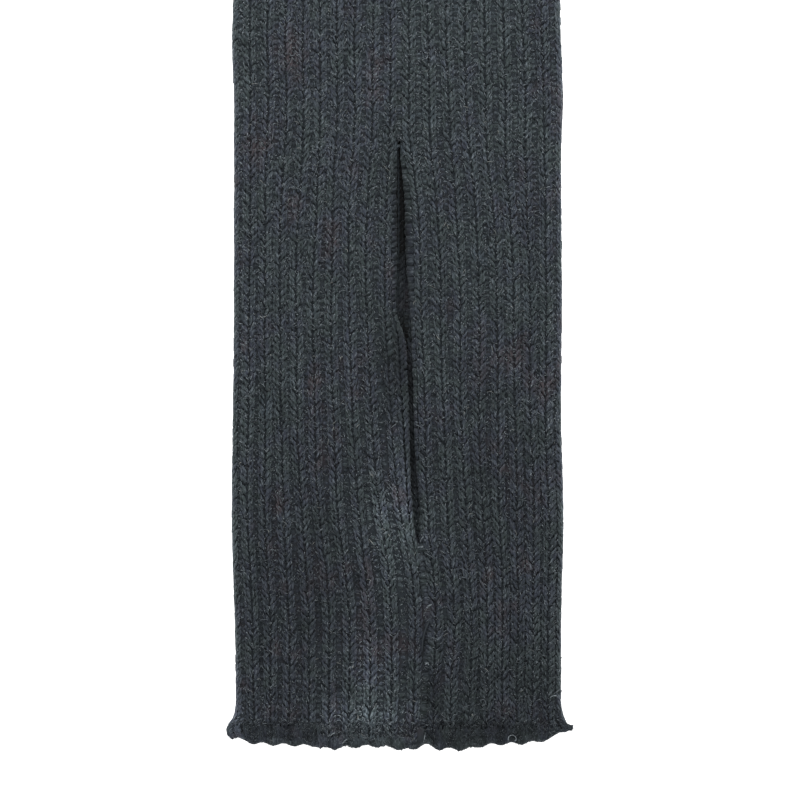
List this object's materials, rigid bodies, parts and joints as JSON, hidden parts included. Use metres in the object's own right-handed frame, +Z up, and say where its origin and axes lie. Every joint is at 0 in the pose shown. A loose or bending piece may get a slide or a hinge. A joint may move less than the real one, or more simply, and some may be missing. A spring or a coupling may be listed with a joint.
{
  "type": "ribbed leg warmer with heel slit, laid flat",
  "caption": "Ribbed knit tube laid flat, with a back seam that opens into a heel slit, a scalloped lettuce hem at the foot and a plain bound-off knee end.",
  "frame": {"origin": "on the surface that the piece lies on, under the middle of its bounding box", "axes": "+X across the flat tube, +Y along it from the lettuce hem at the foot to the knee end, +Z up through the two layers to the calf side"},
  "size_m": [0.1104, 0.5, 0.0072],
  "materials": {
    "rib_knit": "soft, slightly hairy wool-blend rib knit, dark blue-grey heather, matt"
  },
  "bodies": {
    "root": {"shin_side": "rib_knit", "calf_left": "rib_knit", "calf_right": "rib_knit"}
  },
  "joints": []
}
